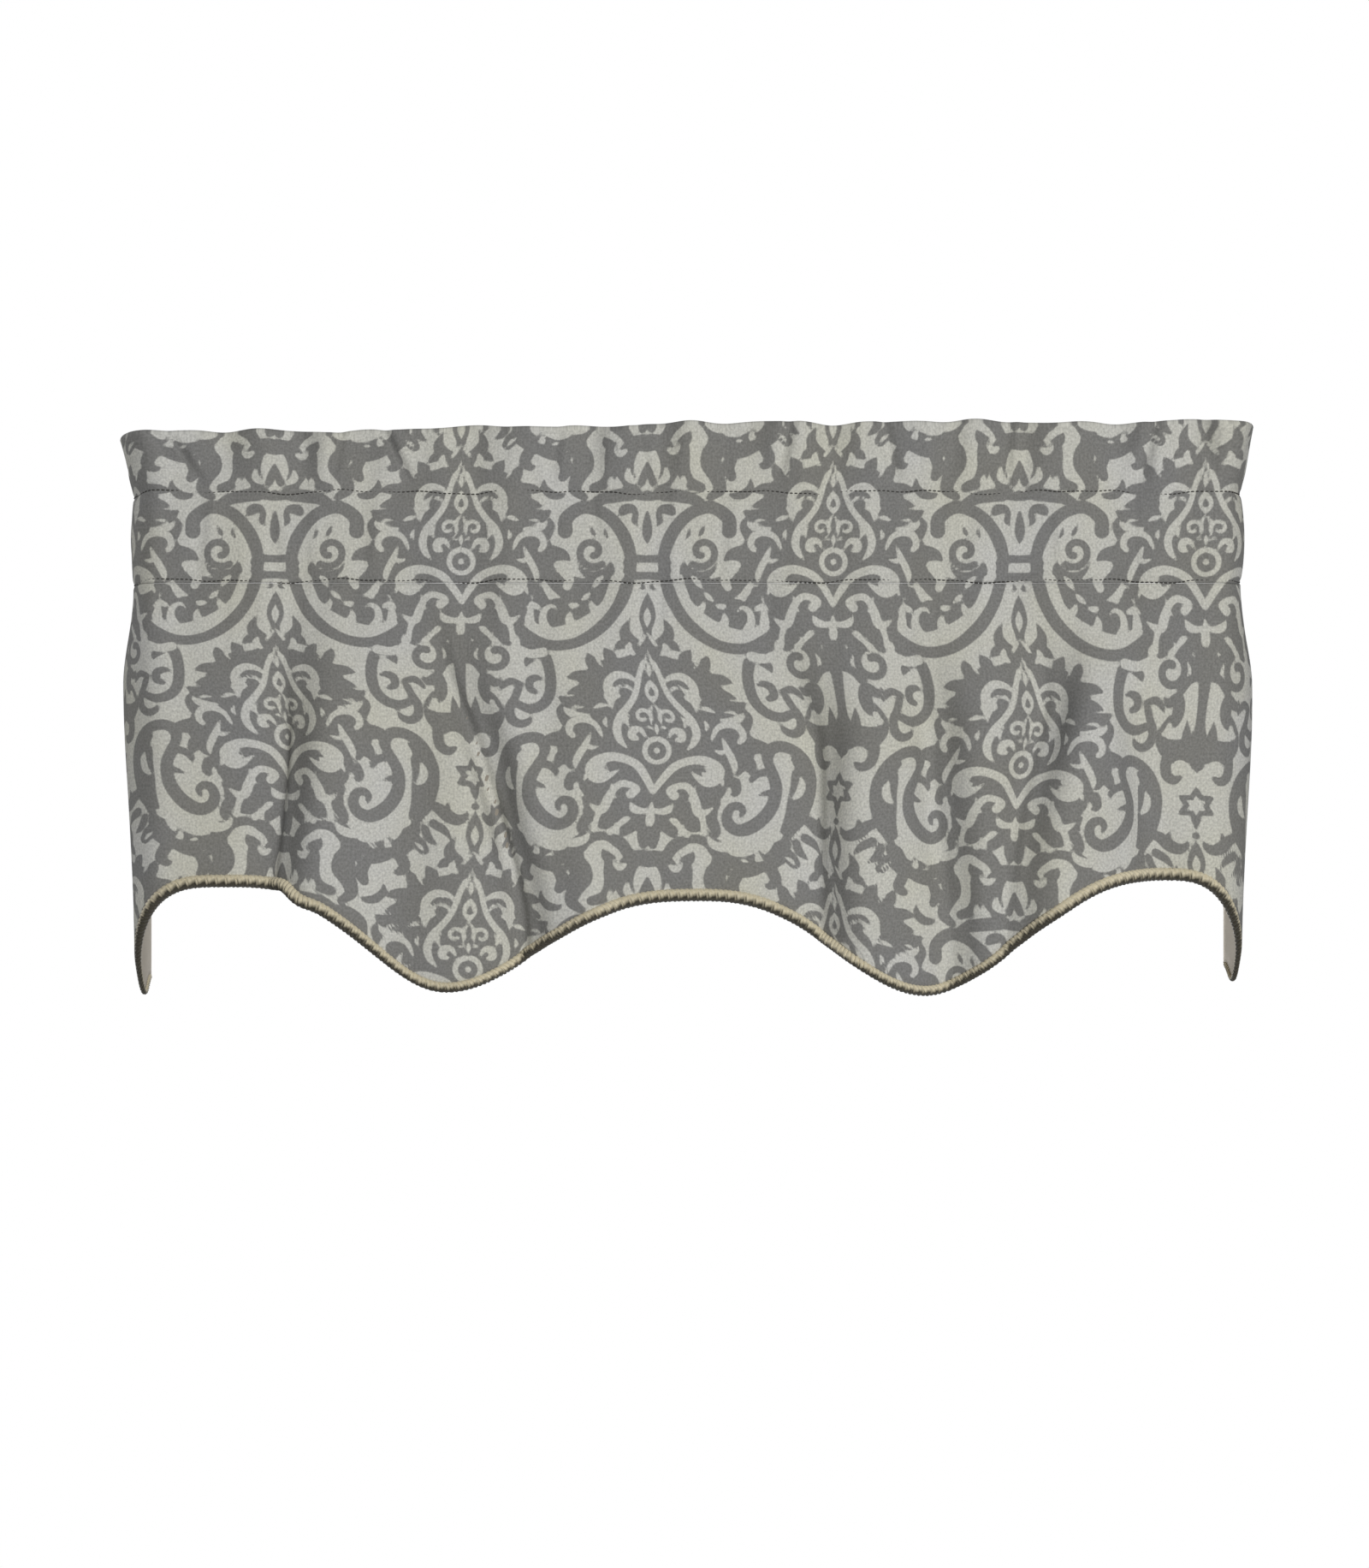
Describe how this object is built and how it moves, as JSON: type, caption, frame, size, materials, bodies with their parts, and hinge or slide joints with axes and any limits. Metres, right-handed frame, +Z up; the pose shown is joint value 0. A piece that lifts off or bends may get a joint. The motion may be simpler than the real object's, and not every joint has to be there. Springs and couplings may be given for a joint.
{
  "type": "scallop valance",
  "caption": "Lined scallop valance with a frilled heading, an open rod pocket, a gathered printed skirt with an arched hem and a twisted rope trim.",
  "frame": {"origin": "middle of the heading's top edge, on the centre line of the rod", "axes": "+X to the right seen from the front, +Y to the wall behind, +Z up"},
  "size_m": [0.8797, 0.1281, 0.4393],
  "materials": {
    "printed_cloth": "plain-weave cotton with a grey damask print on cream",
    "lining_cloth": "plain beige lining",
    "rope_cord": "twisted cream cord with a soft lustre"
  },
  "bodies": {
    "root": {"heading_front": "printed_cloth", "heading_left_return": "printed_cloth", "heading_right_return": "printed_cloth", "skirt_face": "printed_cloth", "skirt_lining": "lining_cloth", "hem_rope": "rope_cord"}
  },
  "joints": []
}
